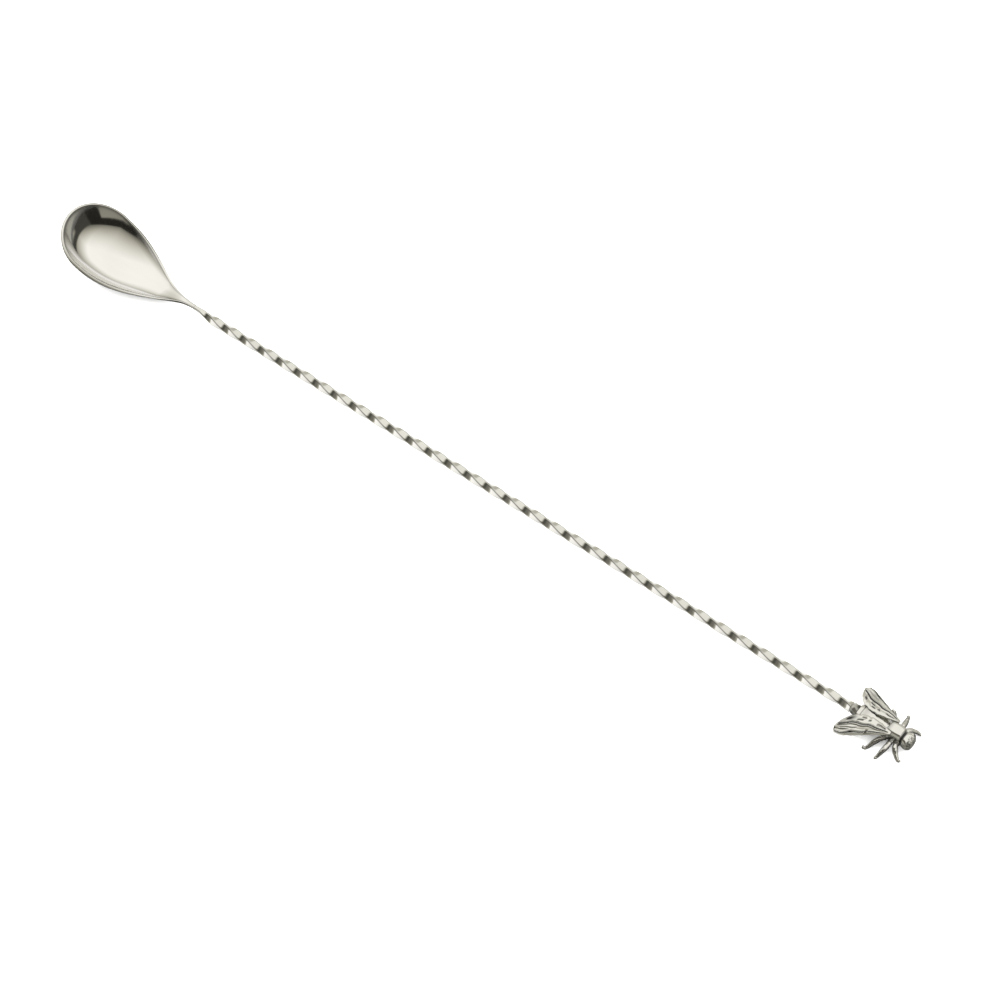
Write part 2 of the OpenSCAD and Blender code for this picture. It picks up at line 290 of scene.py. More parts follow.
TIP_L = 12.5                # length of the round front
TAIL_L = BOWL_L - TIP_L
DEPTH = 5.9                 # depth of the hollow below the rim
SHEET_T = 1.2
RIM_SLOPE = 0.048           # slope of the rim where it leaves the neck
RIM_CURVE = 0.0075          # how fast the rim steepens towards the tip, per millimetre
NECK_W = 1.6
NECK_T = 1.2
NECK_TOP = 1.75             # height of the neck's top face above the stem's axis
SECTION_POWER = 3           # how flat the hollow's floor is across the bowl
TAIL_POWER = 1.6            # how soon the hollow shallows towards the neck
HEEL_S = BOWL_L - 14        # where the rim starts to climb
HEEL_DROP = 1.6             # how far the rim dips below the neck's top there
CLIMB_L = 11                # length over which the rim rises from its dip to the neck's top
RIM_L = 4                   # half width of the bowl at which its rim has thinned to 0.7 of its full width
NECK_SIDE = 0.75            # share of the neck's thickness that its straight sides take
TAIL_FULLNESS = 1.12        # above 1, the bowl keeps its width for longer behind its widest place
RIM_PLAN = 0.82             # width of the rim seen from above, as a share of the sheet's thickness
RIM_DROP = 0.72             # the rim leans outwards: its outer edge is this much lower than its inner edge
OUTER_ROUND = 0.7           # how far the rounding of the rim's outer edge reaches
INNER_ROUND = 0.3           # the same for its inner edge
SPOKE_POINTS = 40           # points from the middle of the bowl out to the rim, on each face


def half_width(s):
    """Half the bowl's width at station s."""
    tail = np.clip((s - TIP_L) / TAIL_L, 0, 1) ** TAIL_FULLNESS
    narrowing = lerp(NECK_W / 2, HALF_W, (1 + np.cos(np.pi * tail)) / 2)
    front = HALF_W * np.sqrt(np.clip(1 - (1 - s / TIP_L) ** 2, 0, 1))
    return np.where(s < TIP_L, front, narrowing)


def rim_z(s):
    """Height of the rim above the stem's axis at station s."""
    ahead = np.maximum(HEEL_S - s, 0)
    low = NECK_TOP - HEEL_DROP
    climb = smooth((s - HEEL_S) / CLIMB_L)
    return low + RIM_SLOPE * ahead + RIM_CURVE * ahead ** 2 + HEEL_DROP * climb


def rim_w(half):
    """Width of the rim seen from above, where half the bowl's width is half."""
    return RIM_PLAN * SHEET_T * half / np.hypot(half, RIM_L)


INNER_TIP = TIP_L - RIM_PLAN * SHEET_T
INNER_FULL = HALF_W - rim_w(HALF_W)


def bowl_spoke(spine_s, rim_s, turn, side):
    """Points from the underside's middle, out over the rim and in to the hollow's middle.

    turn is the angle round the front, from 0 at the tip to a right angle at the widest place.
    """
    front = turn < math.pi / 2
    on_neck = smooth((rim_s - HEEL_S) / CLIMB_L)
    wall = NECK_SIDE * NECK_T * on_neck
    below = lerp(SHEET_T, NECK_T - wall, on_neck)
    half = HALF_W * math.sin(turn) if front else float(half_width(rim_s))
    half_in = INNER_FULL * math.sin(turn) if front else half - float(rim_w(half))
    rim_s_in = TIP_L - INNER_TIP * math.cos(turn) if front else rim_s
    lean = RIM_DROP / 2 * (1.0 if front else (half / HALF_W) ** 2)
    share = 1.0 if front else (half / HALF_W) ** TAIL_POWER
    share_in = 1.0 if front else (half_in / INNER_FULL) ** TAIL_POWER

    def under(r):
        s = lerp(spine_s, rim_s, r)
        drop = (DEPTH * share + below - lean) * (1 - r ** SECTION_POWER)
        return np.stack([TIP_X + s, side * half * r, rim_z(s) - wall - lean - drop], -1)

    def hollow(r):
        s = lerp(spine_s, rim_s_in, r)
        return np.stack([TIP_X + s, side * half_in * r,
                         rim_z(s) + lean - (DEPTH * share_in + lean) * (1 - r ** SECTION_POWER)], -1)

    def reach(half_at, deep, rounding):
        """Share of the spoke at which the rounding of an edge starts."""
        steep = math.hypot(max(half_at, TIP_L if front else half_at), SECTION_POWER * deep)
        return 1 - min(rounding / steep, 0.3)

    start = reach(half, DEPTH * share + below, OUTER_ROUND)
    start_in = reach(half_in, DEPTH * share_in, INNER_ROUND)
    spread = np.sin(np.linspace(0, math.pi / 2, SPOKE_POINTS))
    one = np.array(1.0)
    corner_low = under(one)
    corner = corner_low + [0, 0, wall]
    corner_in = hollow(one)
    flat = corner_in - corner
    cut = min(OUTER_ROUND / np.linalg.norm(flat), 0.6)
    cut_in = min(INNER_ROUND / np.linalg.norm(flat), 0.3)
    bend = np.linspace(0, 1, 9)
    return np.concatenate([
        under(spread * start),
        bezier([under(np.array(start)), corner_low, corner, corner + flat * cut], bend)[1:],
        corner + flat * np.linspace(cut, 1 - cut_in, 5)[1:-1, None],
        bezier([corner_in - flat * cut_in, corner_in, hollow(np.array(start_in))], bend)[:-1],
        hollow((spread * start_in)[::-1])])


def bowl_painted_shade(rows):
    """Painted shade on the hollow's wall under the rim, and painted dark lines along its inner edge and,
    on the right-hand side, along its outer edge.
    """
    place = np.arange(rows.shape[1])
    in_hollow = place - (rows.shape[1] - SPOKE_POINTS)      # less than 0 on the rim
    outer_edge = SPOKE_POINTS + 4.5
    right_side = smooth((2 - rows[..., 1]) / 5)
    # All three terms are painted shade: a darker band on the upper wall and dark lines along the rim's
    # edges
    wall = (in_hollow >= 0) * (0.40 * hump(in_hollow, 3, 3) + 0.26 * hump(in_hollow, 0, 13))
    inner_line = 0.32 * hump(in_hollow, -1, 4.5)
    outer_line = 0.75 * hump(place, outer_edge, 1.8) * right_side
    return wall + inner_line + outer_line


def make_bowl():
    """The bowl's shell as spokes, all round from one side of the neck's end to the other."""
    turns = np.linspace(0, math.pi / 2, 49)[:-1]
    stations = np.linspace(TIP_L, BOWL_L, 111)
    half = [(TIP_L, TIP_L - TIP_L * math.cos(turn), turn) for turn in turns]
    half += [(s, s, math.pi / 2) for s in stations]
    left = [bowl_spoke(*place, 1) for place in half]
    right = [bowl_spoke(*place, -1) for place in half[1:]]
    rows = np.array(right[::-1] + left)
    count = rows.shape[1]
    faces = grid_faces(len(rows), count, False)
    neck_end = [(len(rows) - 1) * count + i for i in range(count)] + list(range(count))[::-1]
    faces.append(neck_end)
    # The bowl's darkening is painted shade
    part = (rows.reshape(-1, 3), faces, bowl_painted_shade(rows))
    add_piece("bowl_shell", [part], "bowl", bowl_steel)


# ---- Stem ----

STEM_SIDE = 2.7
CORNER_R = 0.45
QUARTER_L = 7.47            # length of the first quarter turn
QUARTER_RATIO = 1.0029      # each quarter turn is this many times as long as the last
LEAD_L = 2.6                # straight rod between the weld and the twist
SQUARE_L = 9.0              # length over which the neck's section grows into the square
STEM_STEP = 0.22            # distance between the rod's rings
CORNER_POINTS = 7           # points round each corner of the rod
SIDE_STEPS = 6              # steps along each flat side


def twist(x):
    """Turn of the rod at x, in radians."""
    run = np.maximum(x - (WELD_X + LEAD_L), 0)
    quarters = np.log(1 + run * math.log(QUARTER_RATIO) / QUARTER_L) / math.log(QUARTER_RATIO)
    return math.pi / 2 * quarters


def rounded_rectangle(half_y, half_z, radius):
    """Outline of a rectangle with round corners, starting where the +y side meets its upper corner."""
    corners = []
    for quarter, (sign_y, sign_z) in enumerate(((1, 1), (-1, 1), (-1, -1), (1, -1))):
        centre = np.array([sign_y * (half_y - radius), sign_z * (half_z - radius)])
        angles = np.linspace(0, math.pi / 2, CORNER_POINTS) + quarter * math.pi / 2
        corners += [centre + radius * np.array([math.cos(a), math.sin(a)]) for a in angles]
    outline = []
    for i, point in enumerate(corners):
        after = corners[(i + 1) % len(corners)]
        at_side = i % CORNER_POINTS == CORNER_POINTS - 1
        steps = SIDE_STEPS if at_side else 1
        outline += [lerp(point, after, k / steps) for k in range(steps)]
    return np.array(outline)


def make_stem():
    """The twisted rod, with painted shade in a line along the middle of each corner."""
    stations = np.arange(WELD_X, SHOULDER_X, STEM_STEP).tolist() + [SHOULDER_X]
    rings = []
    for x in stations:
        t = float(smooth((x - WELD_X) / SQUARE_L))
        wide = lerp(NECK_W, STEM_SIDE, t)
        tall = lerp(NECK_T, STEM_SIDE, t)
        outline = rounded_rectangle(wide / 2, tall / 2, CORNER_R)
        angle = float(twist(x))
        cosine, sine = math.cos(angle), math.sin(angle)
        y = outline[:, 0] * cosine - outline[:, 1] * sine
        z = outline[:, 0] * sine + outline[:, 1] * cosine + (NECK_TOP - NECK_T / 2) * (1 - t)
        rings.append(np.stack([np.full(len(y), x), y, z], -1))
    rings = np.array(rings)
    # Painted shade: a dark line along the middle of each rounded corner
    place = np.arange(rings.shape[1]) % (rings.shape[1] // 4)
    painted_shade_and_patina = np.tile(0.85 * hump(place, CORNER_POINTS // 2, 1.0), (len(rings), 1))
    add_piece("twisted_stem", [(*tube(rings), painted_shade_and_patina)], "stem", stem_steel)


def make_collar():
    """Lumpy fillet of braze between the stem's shoulder and the fly's tail, with painted shade that is
    darkest at the tail.
    """
    angles = np.linspace(0, 2 * math.pi, 72, endpoint=False)
    t = np.linspace(0, 1, 33)[:, None]
    swell = 1 - 0.28 * abs(2 * t - 1) ** 3
    lumps = 1 + 0.05 * np.sin(3 * angles + 4 * t) * np.sin(5 * t) + 0.03 * np.sin(7 * angles - 9 * t)
    room = 1.06             # room left for the lumps, which keeps them close to the CAD collar's radius
    r = COLLAR_R * swell * lumps / room
    x = np.broadcast_to(lerp(SHOULDER_X, TAIL_X, t), r.shape)
    rings = np.stack([x, r * np.cos(angles), r * np.sin(angles)], -1)
    # Painted shade: dark spots, a dark band at the tail and a lighter one at the shoulder, over a slight
    # darkening that follows the lumps
    spots = (hump(t, 0.78, 0.18) * hump(np.cos(angles - 1.0), 1, 0.3)
             + hump(t, 0.4, 0.35) * hump(np.cos(angles + 3.05), 1, 0.25))
    painted_shade_and_patina = np.clip(0.75 * hump(t, 1, 0.1) + 0.35 * hump(t, 0, 0.12) + 0.12 * lumps + spots, 0, 1)
    add_piece("collar_braze", [(*tube(rings), painted_shade_and_patina)], "braze_collar", braze_metal)


# ---- Fly. Stations d are measured back from the front of the head ----

# Each mass of the body: centre behind the nose, half length, half width, half height, height of centre
# and bluntness of its ends
ABDOMEN = (15.2, 6.4, 3.3, 2.5, -0.35, 3.0)
THORAX = (6.4, 2.6, 2.4, 2.4, 0.9, 8.0)
HEAD = (2.0, 2.0, 2.65, 2.5, 0.0, 2.4)
TAIL_R = 2.05
WAIST = (2.0, 1.9)          # half width and half height where the masses meet
BODY_POWER = 2.4            # above 2 the body's section is squarer than an ellipse
THORAX_SQUARER = 1.4        # added to the power at the thorax
LIP_L = 1.9                 # how far the tail's lower lip reaches back under the collar

# Grooves round the body. Each: station, half width, depth as a share of the body's radius, and the half
# width and darkness of the painted shade in it
BODY_GROOVES = [
    (3.75, 0.20, 0.14, 0.25, 0.95),     # between the head and the thorax
    (9.1, 0.25, 0.06, 0.30, 0.50),      # between the thorax and the abdomen
    (18.6, 0.15, 0.08, 0.15, 0.40),     # round the tail
]


def fly_point(p):
    """Turns a place behind the nose, outwards and up into the stem's frame."""
    p = np.asarray(p, float)
    return np.stack([NOSE_X - p[..., 0], p[..., 1], p[..., 2]], -1)


def body_at(d):
    """Half width, half height and height of the body's centre at station d."""
    wide = np.where(d > ABDOMEN[0], TAIL_R, np.where(d > HEAD[0], WAIST[0], 0.0))
    tall = np.where(d > ABDOMEN[0], TAIL_R, np.where(d > HEAD[0], WAIST[1], 0.0))
    centre = np.zeros_like(d)
    for mid, half_l, half_w, half_h, height, blunt in (ABDOMEN, THORAX, HEAD):
        share = (1 - np.minimum(abs(d - mid) / half_l, 1) ** blunt) ** (1 / blunt)
        wide = np.maximum(wide, half_w * share)
        tall = np.maximum(tall, half_h * share)
        centre = centre + height * share
    return wide, tall, centre


def mottle(points, size):
    """Uneven pattern between about -1 and 1, with lumps of the given size in millimetres."""
    x, y, z = np.moveaxis(points, -1, 0) / size
    return (np.sin(2.1 * x + 1.3 * np.sin(1.7 * y)) * np.sin(2.3 * y + 1.1 * np.sin(1.9 * z))
            + 0.6 * np.sin(3.9 * z + 1.6 * np.sin(2.7 * x))) / 1.6


def body_painted_shade(d, out, up, lumps, on_face):
    """Painted shade at station d: on the face, mottled with its lumps; below the thorax's top; at the ends
    of the thorax and the abdomen; on the belly; and in the grooves. out and up say which way the body's
    side faces there, from -1 to 1.
    """
    low_or_front = np.clip(smooth((0.95 - up) / 0.4) + smooth((1.5 - d) / 0.5), 0, 1)
    face = on_face * low_or_front * np.clip(0.55 + 1.5 * lumps, 0.15, 1)
    thorax_edge = 0.8 * hump(up, 0.08, 0.14) * (out < 0) * hump(d, THORAX[0] - 0.3, 2.2)
    thorax_end = 0.35 * hump(d, THORAX[0] + 2.1, 0.7) * smooth(2 * up)
    abdomen_end = 0.22 * hump(d, 17.4, 1.2) * smooth(2 * up)
    # Painted shade on the underside
    belly = 0.7 * smooth((-0.15 - up) / 0.3) * hump(d, 6.6, 3.0)
    grooves = sum(dark * hump(d, place, breadth) for place, _, _, breadth, dark in BODY_GROOVES)
    return np.clip(face + thorax_edge + thorax_end + abdomen_end + grooves + belly, 0, 0.95)


def make_body():
    """Head, thorax and abdomen in one skin, with eyes, a mouth and lumps on the face."""
    d = np.linspace(NOSE_X - TAIL_X, 0.03, 300)[:, None]
    angles = np.linspace(0, 2 * math.pi, 168, endpoint=False)[None]
    out, up = np.cos(angles), np.sin(angles)
    wide, tall, centre = body_at(d)
    power = BODY_POWER + THORAX_SQUARER * hump(d, THORAX[0], 2.4)
    bulge = (abs(out) ** power + abs(up) ** power) ** (-1 / power)
    lip = LIP_L * smooth((d - 17.8) / 1.9) * np.clip((0.3 - up) / 1.3, 0, 1)

    def skin(swell):
        y = wide * out * bulge * swell
        return np.stack([NOSE_X - d - lip, y, centre + tall * up * bulge * swell], -1)

    lumps = mottle(skin(1.0), 0.5)
    on_face = smooth((2.3 - d) / 0.9)
    eyes = 0.10 * hump(d, 1.5, 0.8) * hump(abs(out), 0.85, 0.3) * (up > -0.3)
    mouth = 0.16 * hump(d, 0.35, 0.4) * hump(up, -0.5, 0.45)
    grooves = sum(deep * hump(d, place, width) for place, width, deep, _, _ in BODY_GROOVES)
    swell = 1 + eyes + mouth + 0.09 * on_face * lumps - grooves
    # Painted shade over the head, thorax and abdomen
    painted_shade_and_patina = body_painted_shade(d, out, up, lumps, on_face)
    add_piece("fly_body", [(*tube(skin(swell)), painted_shade_and_patina)], "insect_body", cast_steel)


def side_y(d, z):
    """Half the body's width at station d and height z."""
    wide, tall, centre = body_at(np.array(float(d)))
    up = min(abs(z - float(centre)) / float(tall), 1)
    return float(wide) * (1 - up ** BODY_POWER) ** (1 / BODY_POWER)


# ---- Legs ----

FOOT_Z = 0.25 - AXIS_H      # height of a leg's lower end
SEAT_SINK = 0.2             # how deep a leg starts in the body's side
SEAT_OUT = 0.8              # a leg leaves its seat square, for about this far
LEG_RADII = (0.55, 0.75, 1.0, 0.95, 0.6, 0.5)
HIP_RADII = (0.9, 1.25, 0.7)
FOOT_RADII = (0.2, 1.0, -0.2, 1.0, 0.3)     # two lobes with a waist between them
LEG_LUMPS = 0.08            # height of the lumps, as a share of the radius
HIP_LUMPS = 0.22
FOOT_LUMPS = 0.06

# Each leg: its seat's station and height, then its knee, its ankle and its foot
LEG_PLACES = {
    "front": ((4.7, -0.6), (4.0, 4.3, -0.9), (2.3, 6, -2.4), (1.1, 6.2, FOOT_Z)),
    "middle": ((6.4, -0.8), (6.5, 5.4, -1.1), (7.1, 7.8, -2.4), (7.6, 9.5, FOOT_Z)),
    "rear": ((8.3, -0.4), (10.3, 4.8, -0.9), (11.0, 7.0, -2.4), (12.2, 8.5, FOOT_Z)),
}

# How far the lobes of each foot reach behind the leg's end. Less than 0 is in front of it
FOOT_LOBES = {"front": (-0.35, 0.95), "middle": (-0.5, 0.45), "rear": (-0.7, 0.9)}


def limb(path, radii, lumps, steps=40):
    """Round limb along a Bezier curve. It ends in a dome, and painted shade gathers in front and below,
    with darker mottling that follows its lumps.
    """
    points = 28
    end = 0.995             # the dome closes on a small flat at this place along the curve
    t = end * np.sin(np.linspace(0, math.pi / 2, steps + 1))
    slopes = [np.subtract(b, a) for a, b in zip(path, path[1:])]
    along = unit(bezier(slopes, t))
    across = unit(np.cross(along, [0, 0, 1]))
    up = np.cross(across, along)
    angles = -np.linspace(0, 2 * math.pi, points, endpoint=False)
    radius = bezier([[r] for r in radii], t) * np.sqrt(1 - t ** 24)[:, None]
    ring = np.cos(angles)[None, :, None] * across[:, None] + np.sin(angles)[None, :, None] * up[:, None]
    centre = bezier(path, t)[:, None]
    uneven = mottle(centre + radius[:, None] * ring, 0.6)
    rings = centre + radius[:, None] * (1 + lumps * uneven[..., None]) * ring
    # Painted shade on the front and on the underside
    front = 0.8 * smooth((np.cos(angles + 0.4) - 0.3) / 0.4)
    below = 0.4 * smooth(-0.1 - np.sin(angles))
    lump_mottling = 3.5 * lumps * np.clip(0.4 + uneven, 0, 1)
    return rings, np.clip((front + below)[None] + lump_mottling, 0, 0.9)


def on_side(rings, side):
    """Rings made for the left side, or their mirror image for the right."""
    return rings * [1, -1, 1] if side == "right" else rings


def make_leg(place, side):
    """A tapering leg, the lumpy hip that it grows from and a foot with a lobe in front and one behind."""
    seat, knee, ankle, end = LEG_PLACES[place]
    seat = np.array([seat[0], side_y(*seat) - SEAT_SINK, seat[1]])
    leg_path = (seat, seat + [0, SEAT_OUT, 0], knee, knee, ankle, end)
    hip_path = (seat + [0, -1.2, 0.1], seat + [0, 0.6, 0.0], lerp(seat, np.array(knee), 0.55))
    front, back = FOOT_LOBES[place]
    sole = np.array(end) + [0, -0.25, 0.29]
    foot_path = (sole + [front, 0.1, 0], sole + [front / 2, 0, 0], sole, sole + [back / 2, 0, 0],
                 sole + [back, 0.1, 0])
    leg = limb([fly_point(p) for p in leg_path], LEG_RADII, LEG_LUMPS)
    hip = limb([fly_point(p) for p in hip_path], HIP_RADII, HIP_LUMPS)
    foot = limb([fly_point(p) for p in foot_path], FOOT_RADII, FOOT_LUMPS, steps=24)
    parts = [(*tube(on_side(rings, side)), painted_shade_and_patina) for rings, painted_shade_and_patina in (leg, hip, foot)]
    name = f"leg_{place}_{side}"
    add_piece(f"fly_{name}", parts, name, cast_steel)


# ---- Wings ----

WING_T = 0.7
WING_TILT = math.radians(20)        # tilt down towards the outer edge
WING_ROOT = np.array([7, 2.6, 2.85])
WING_TIP = np.array([23.3, 8.3, -0.9])
WING_CAMBER = 0.5
ROOT_CHORD = 0.5            # chord on either side of the centre line at the root
OUTER_GROWTH = 3.1          # how much the outer side grows from the root to the tip
INNER_SWELL = 4.8           # how much the inner side swells, as a sine
INNER_TURN = 128            # degrees that the sine turns through from the root to the tip
OUTER_BLUNT = 10            # how bluntly the tip closes on either side
INNER_BLUNT = 8

# Grooves of a wing. Each: place across the wing at the root and at the tip (0 inner edge, 1 outer edge),
# first and last place along it, depth in millimetres, half width across and size of its waves
WING_GROOVES = [
    (0.52, 0.38, 0.04, 0.97, 0.30, 0.030, 0.025),
    (0.77, 0.91, 0.08, 0.40, 0.22, 0.026, 0.020),
    (0.77, 0.91, 0.43, 0.97, 0.28, 0.030, 0.022),
    (0.85, 0.85, 0.64, 0.72, 0.24, 0.040, 0.000),
    (0.24, 0.20, 0.10, 0.32, 0.20, 0.028, 0.020),
    (0.24, 0.20, 0.42, 0.50, 0.20, 0.034, 0.000),
    (0.28, 0.26, 0.56, 0.70, 0.20, 0.022, 0.010),
    (0.18, 0.15, 0.52, 0.64, 0.18, 0.022, 0.010),
    (0.22, 0.22, 0.78, 0.88, 0.24, 0.040, 0.020),
    (0.65, 0.66, 0.60, 0.90, 0.12, 0.024, 0.020),
]

# Darkness and breadth of the painted shade in a wing's grooves
WING_GROOVE_SHADE = {"left": (6.0, 1.5), "right": (1.7, 1.0)}

# Dark patches on a wing. Each: place along and across it, half length, half width and darkness
WING_DARK_PATCHES = {"left": [(0.97, 0.30, 0.05, 0.30, 0.3)],
               "right": [(0.80, 0.18, 0.08, 0.13, 1.0), (0.93, 0.35, 0.06, 0.25, 0.45)]}


def wing_veins(t, c, side):
    """Height of the veins and grooves at t along a wing and c across it, the painted shade in the grooves
    and the dark patches.
    """
    dark, breadth = WING_GROOVE_SHADE[side]
    height = np.zeros_like(t * c)
    painted_shade_and_patina = np.zeros_like(t * c)
    for at_root, at_tip, first, last, deep, width, wave in WING_GROOVES:
        shown = smooth((t - first) / 0.03) * smooth((last - t) / 0.03)
        place = lerp(at_root, at_tip, t) + wave * np.sin(20 * t + 30 * at_root)
        height = height - deep * shown * hump(c, place, width)
        for way in (-1, 1):
            height = height + 0.45 * deep * shown * hump(c, place + way * 2.2 * width, 1.2 * width)
        # Painted shade in the groove
        painted_shade_and_patina = painted_shade_and_patina + dark * deep * shown * hump(c, place, breadth * width)
    for along, across, half_l, half_w, patch_darkness in WING_DARK_PATCHES[side]:
        painted_shade_and_patina = painted_shade_and_patina + patch_darkness * hump(t, along, half_l) * hump(c, across, half_w)
    return height * smooth((1 - t) * 14), np.clip(painted_shade_and_patina, 0, 0.95)


def make_wing(side):
    """A thin cambered wing with scalloped edges, and veins on its upper face."""
    steps_along = 240
    steps_across = 130
    t = (0.995 * np.sin(np.linspace(0, math.pi / 2, steps_along + 1)))[:, None]
    c = np.linspace(0, 1, steps_across + 1)[None]
    scallop = 1 + 0.02 * np.sin(34 * t) + 0.012 * np.sin(61 * t)
    outer = (ROOT_CHORD + OUTER_GROWTH * t) * np.sqrt(1 - t ** OUTER_BLUNT) * scallop
    swell = INNER_SWELL * np.sin(np.radians(INNER_TURN * t))
    inner = (ROOT_CHORD + swell) * np.sqrt(1 - t ** INNER_BLUNT) * scallop
    y = lerp(-inner, outer, c)
    camber = 4 * c * (1 - c) * WING_CAMBER * smooth(3 * t)
    thin = np.sqrt(np.clip(1 - (2 * c - 1) ** 8, 0.05, 1))
    veins, groove_shade = wing_veins(t, c, side)

    def face(height):
        z = camber + height
        axis = lerp(WING_ROOT, WING_TIP, t[..., None])
        offset = np.stack([np.zeros_like(z), y * math.cos(WING_TILT) + z * math.sin(WING_TILT),
                           z * math.cos(WING_TILT) - y * math.sin(WING_TILT)], -1)
        return fly_point(axis + offset)

    top = face(WING_T / 2 * thin + veins)
    bottom = face(-WING_T / 2 * thin)
    rings = on_side(np.concatenate([top, bottom[:, ::-1]], 1), side)
    # Painted shade in the grooves, and an even painted shade on the underside
    painted_shade_and_patina = np.concatenate([groove_shade, np.full_like(groove_shade, 0.1)], 1)
    name = f"wing_{side}"
    add_piece(f"fly_{name}", [(*tube(rings), painted_shade_and_patina)], name, cast_steel)


make_bowl()
make_stem()
make_collar()
make_body()
for side in ("left", "right"):
    make_wing(side)
    for place in LEG_PLACES:
        make_leg(place, side)


# ---- Studio ----

CAMERA_AZIMUTH = 36.914
CAMERA_ELEVATION = 53.789
CAMERA_DISTANCE = 1268.97
TARGET = (11.762, -1.839, AXIS_H)
LENS = 144
SENSOR_W = 36
FLOOR_HALF = 3000           # half the side of the floor
DOME_R = 4000
FLOOR_LIGHT = 3.0           # strength of the light that falls on the floor

# Brightness of the floor as the metal reflects it
FLOOR_IN_BOWL = 0.12
LIT_FLOOR_IN_BOWL = 0.50
LIT_RAYS = (65, 190)        # the bowl's reflected rays of these lengths meet the lit floor
FLOOR_IN_STEM = 1.25
FLOOR_IN_FLY = 0.40
WARM_BLUE = 0.9             # blue of the floor, as a share of its brightness, in the bowl and the fly
STEM_BLUE = 1.03            # the same in the stem

# Light round the stem, which is BEHIND at first. Each band: where it starts, in degrees from the horizon
# behind, the softness of its edge, and its level
BEHIND = 0.95
STEM_BANDS = [(6, 5, 0.55), (40, 8, 0.98), (111, 11, 0.08), (138, 8, 0.18), (168, 12, 0.42)]

# Tints of the dome where it is dim and where it is bright, and what light from a second reflection gains
DIM_TINT = (1.02, 1.0, 0.88, 1)
BRIGHT_TINT = (1.0, 1.0, 0.99, 1)
SECOND_GAIN = (1.15, 1.18, 1.30, 1)


def direction(azimuth, elevation):
    """Unit vector towards a place in the studio. Azimuth 0 is -y, the side a viewer stands on."""
    a, e = math.radians(azimuth), math.radians(elevation)
    return Vector((math.sin(a) * math.cos(e), -math.cos(a) * math.cos(e), math.sin(e)))


def make_floor():
    """Floor that is white to the camera. In reflections its shade depends on the part that reflects it."""
    mesh = bpy.data.meshes.new("floor")
    half = FLOOR_HALF * MM
    corners = [(-half, -half, 0), (half, -half, 0), (half, half, 0), (-half, half, 0)]
    mesh.from_pydata(corners, [], [(0, 1, 2, 3)])
    floor = bpy.data.objects.new("floor", mesh)
    bpy.context.scene.collection.objects.link(floor)
    material = bpy.data.materials.new("floor_white")
    material.use_nodes = True
    tree = material.node_tree
    shader = tree.nodes["Principled BSDF"]
    where = add_node(tree, "TexCoord").outputs["Object"]
    white = map_range(tree, noise(tree, where, 0.02), 0.3, 0.7, 0.90, 0.92)
    start_x = ray_start_x(tree)
    path = add_node(tree, "LightPath").outputs
    lit = inside(tree, path["Ray Length"], LIT_RAYS[0] * MM, LIT_RAYS[1] * MM, 15 * MM)
    in_bowl = mix_levels(tree, FLOOR_IN_BOWL / FLOOR_LIGHT, LIT_FLOOR_IN_BOWL / FLOOR_LIGHT, lit)
    past_bowl = step(tree, start_x, WELD_X * MM, 4 * MM)
    past_stem = step(tree, start_x, TAIL_X * MM, 1 * MM)
    in_metal = mix_levels(tree, in_bowl, FLOOR_IN_STEM / FLOOR_LIGHT, past_bowl)
    in_metal = mix_levels(tree, in_metal, FLOOR_IN_FLY / FLOOR_LIGHT, past_stem)
    to_camera = path["Is Camera Ray"]
    shade = mix_levels(tree, in_metal, white, to_camera)
    on_stem = inside(tree, start_x, WELD_X * MM, TAIL_X * MM, 2 * MM)
    tint = mix_levels(tree, mix_levels(tree, WARM_BLUE, STEM_BLUE, on_stem), 1.0, to_camera)
    blue = math_node(tree, "MULTIPLY", shade, tint)
    colour = add_node(tree, "CombineColor", Red=shade, Green=shade, Blue=blue)
    tree.links.new(colour.outputs[0], shader.inputs["Base Color"])
    shader.inputs["Roughness"].default_value = 0.9
    mesh.materials.append(material)


def make_world():
    """Even white light for the floor, and the white beyond it. What the metal reflects is the dome."""
    world = bpy.data.worlds.new("studio")
    bpy.context.scene.world = world
    world.use_nodes = True
    tree = world.node_tree
    tree.nodes.clear()
    seen = add_node(tree, "LightPath").outputs["Is Camera Ray"]
    strength = map_range(tree, seen, 0, 1, FLOOR_LIGHT, 1.0)
    background = add_node(tree, "Background", Color=(1.0, 0.998, 0.985, 1), Strength=strength)
    add_node(tree, "OutputWorld", Surface=background.outputs[0])
    world.cycles.sampling_method = "NONE"


def ray_start_x(tree):
    """Where along the spoon the ray that reaches this point of the studio started."""
    geometry = add_node(tree, "NewGeometry")
    back = add_node(tree, "VectorMath", {"operation": "SCALE"})
    tree.links.new(geometry.outputs["Incoming"], back.inputs[0])
    tree.links.new(add_node(tree, "LightPath").outputs["Ray Length"], back.inputs["Scale"])
    start = add_node(tree, "VectorMath", {"operation": "ADD"})
    tree.links.new(geometry.outputs["Position"], start.inputs[0])
    tree.links.new(back.outputs[0], start.inputs[1])
    return add_node(tree, "SeparateXYZ", Vector=start.outputs[0]).outputs[0]


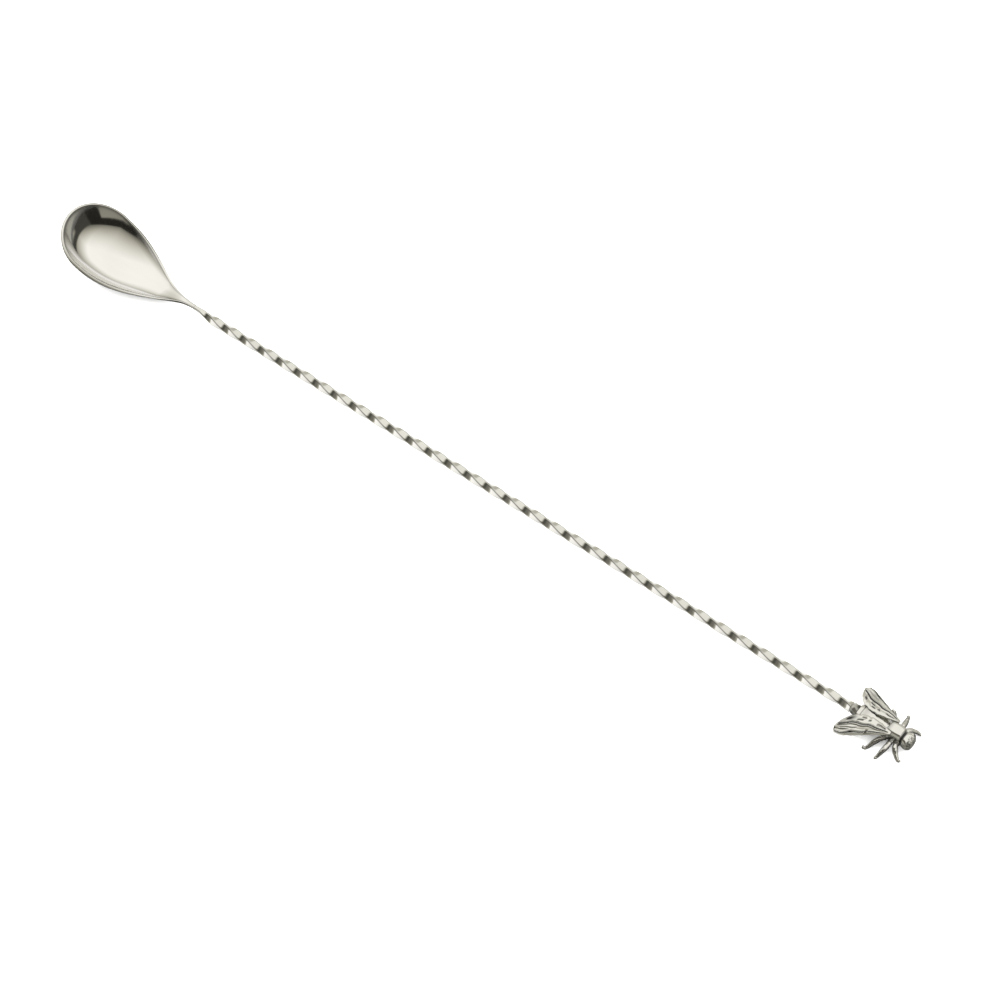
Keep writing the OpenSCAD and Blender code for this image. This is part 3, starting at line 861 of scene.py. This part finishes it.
def bowl_studio(tree, ahead, up, turn):
    """Light that the bowl sees: a large softbox overhead, and a dark room beyond it with a lit panel.

    ahead is towards the viewer, up is vertical and turn is the angle to the right of the viewer. The
    numbers are places, as slopes (forward), heights (slanted) or degrees (turn), soft edges and levels.
    """
    forward = math_node(tree, "DIVIDE", ahead, math_node(tree, "MAXIMUM", up, 0.02))
    softbox = math_node(tree, "MULTIPLY", linear(tree, forward, -0.62, 0.98, 0.19, 1.14),
                        linear(tree, up, 1.4, 0.15, 0.2, 1.0))
    panel = math_node(tree, "MULTIPLY", step(tree, forward, 2.36, 0.12), inside(tree, turn, -42, 31, 2))
    room = mix_levels(tree, 0.02, 0.33, panel)
    past_softbox = step(tree, forward, 1.28, 0.06)
    dark_ahead = math_node(tree, "MULTIPLY", past_softbox, inside(tree, turn, -57, 62, 3))
    level = mix_levels(tree, softbox, room, dark_ahead)
    slanted = math_node(tree, "ADD", up, math_node(tree, "MULTIPLY", turn, 0.0038))
    below_edge = math_node(tree, "SUBTRACT", 1.0, step(tree, slanted, 0.57, 0.035))
    dark_right = math_node(tree, "MULTIPLY", below_edge, inside(tree, turn, 60, 150, 3))
    panel_height = inside(tree, slanted, 0.30, 0.42, 0.04)
    side_panel = math_node(tree, "MULTIPLY", panel_height, step(tree, turn, 95, 5))
    return mix_levels(tree, level, mix_levels(tree, 0.06, 0.45, side_panel), dark_right)


def stem_studio(tree, over):
    """Light that the stem and the fly see: bands from behind, over the top and down to the viewer.

    over is the angle from the horizon behind, over the top, to the horizon at the viewer's side.
    """
    level = BEHIND
    for start, soft, band in STEM_BANDS:
        level = mix_levels(tree, level, band, step(tree, over, start, soft))
    return level


def make_dome():
    """Glowing shell round the studio that only reflections see.

    The bowl and the stem each get the light that shows their shape, by where a reflected ray starts.
    """
    work = bmesh.new()
    bmesh.ops.create_icosphere(work, subdivisions=5, radius=DOME_R * MM)
    mesh = bpy.data.meshes.new("dome")
    work.to_mesh(mesh)
    work.free()
    dome = bpy.data.objects.new("dome", mesh)
    bpy.context.scene.collection.objects.link(dome)
    dome.visible_camera = False
    dome.visible_diffuse = False
    dome.visible_shadow = False
    material = bpy.data.materials.new("dome_light")
    material.use_nodes = True
    material.cycles.emission_sampling = "NONE"
    tree = material.node_tree
    tree.nodes.clear()
    geometry = add_node(tree, "NewGeometry")
    to_viewer = direction(CAMERA_AZIMUTH, 0)
    to_right = direction(CAMERA_AZIMUTH + 90, 0)

    def along(axis):
        dot = add_node(tree, "VectorMath", {"operation": "DOT_PRODUCT"})
        tree.links.new(geometry.outputs["Incoming"], dot.inputs[0])
        dot.inputs[1].default_value = [-a for a in axis]
        return dot.outputs["Value"]

    ahead, right, up = along(to_viewer), along(to_right), along((0, 0, 1))
    turn = math_node(tree, "DEGREES", math_node(tree, "ARCTAN2", right, ahead))
    over = math_node(tree, "DEGREES", math_node(tree, "ARCTAN2", up, along((0, 1, 0))))
    level = mix_levels(tree, bowl_studio(tree, ahead, up, turn), stem_studio(tree, over),
                       step(tree, ray_start_x(tree), (WELD_X - 3) * MM, 3 * MM))
    tint = mix_colours(tree, DIM_TINT, BRIGHT_TINT, map_range(tree, level, 0.25, 1.15, 0.0, 1.0))
    second = step(tree, add_node(tree, "LightPath").outputs["Glossy Depth"], 1.5, 0.4)
    colour = mix_colours(tree, tint, SECOND_GAIN, second, "MULTIPLY")
    glow = add_node(tree, "Emission", Color=colour, Strength=level)
    add_node(tree, "OutputMaterial", Surface=glow.outputs[0])
    mesh.materials.append(material)


def make_camera():
    """Long lens at the angle that the spoon is shown from."""
    back = direction(CAMERA_AZIMUTH, CAMERA_ELEVATION)
    camera = bpy.data.objects.new("camera", bpy.data.cameras.new("camera"))
    camera.data.lens = LENS
    camera.data.sensor_width = SENSOR_W
    camera.location = (Vector(TARGET) + back * CAMERA_DISTANCE) * MM
    camera.rotation_euler = back.to_track_quat("Z", "Y").to_euler()
    camera.data.clip_start = 0.01
    bpy.context.scene.collection.objects.link(camera)
    bpy.context.scene.camera = camera


make_floor()
make_world()
make_dome()
make_camera()
bpy.context.scene.view_settings.view_transform = "Standard"
